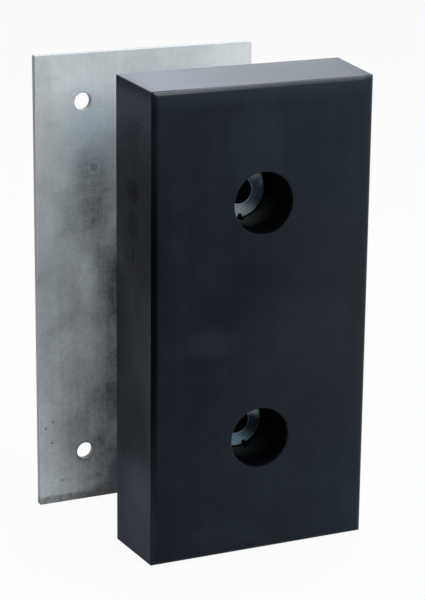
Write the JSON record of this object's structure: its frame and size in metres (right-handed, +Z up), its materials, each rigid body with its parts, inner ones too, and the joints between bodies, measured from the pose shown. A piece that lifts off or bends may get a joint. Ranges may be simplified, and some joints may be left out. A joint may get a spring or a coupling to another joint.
{
  "type": "dock bumper",
  "caption": "Drafted rubber loading dock bumper block with counterbored bolt holes and moulded-in steel seats, shown with its flat drilled steel mounting plate standing behind it",
  "frame": {"origin": "middle of the rubber block's back face, half way between its two bolt holes", "axes": "+Y out of the back face towards the wall, so the impact face looks along -Y; +Z up along the block's height; +X to the right seen from the front"},
  "size_m": [0.2915, 0.2145, 0.5],
  "materials": {
    "rubber": "satin black moulded rubber with a cool tint",
    "seat_steel": "turned steel, a little dulled",
    "plate_steel": "satin zinc-coated steel sheet with clouding and light scratches"
  },
  "bodies": {
    "root": {"rubber_block": "rubber", "upper_bolt_seat": "seat_steel", "lower_bolt_seat": "seat_steel", "mounting_plate": "plate_steel"}
  },
  "joints": []
}
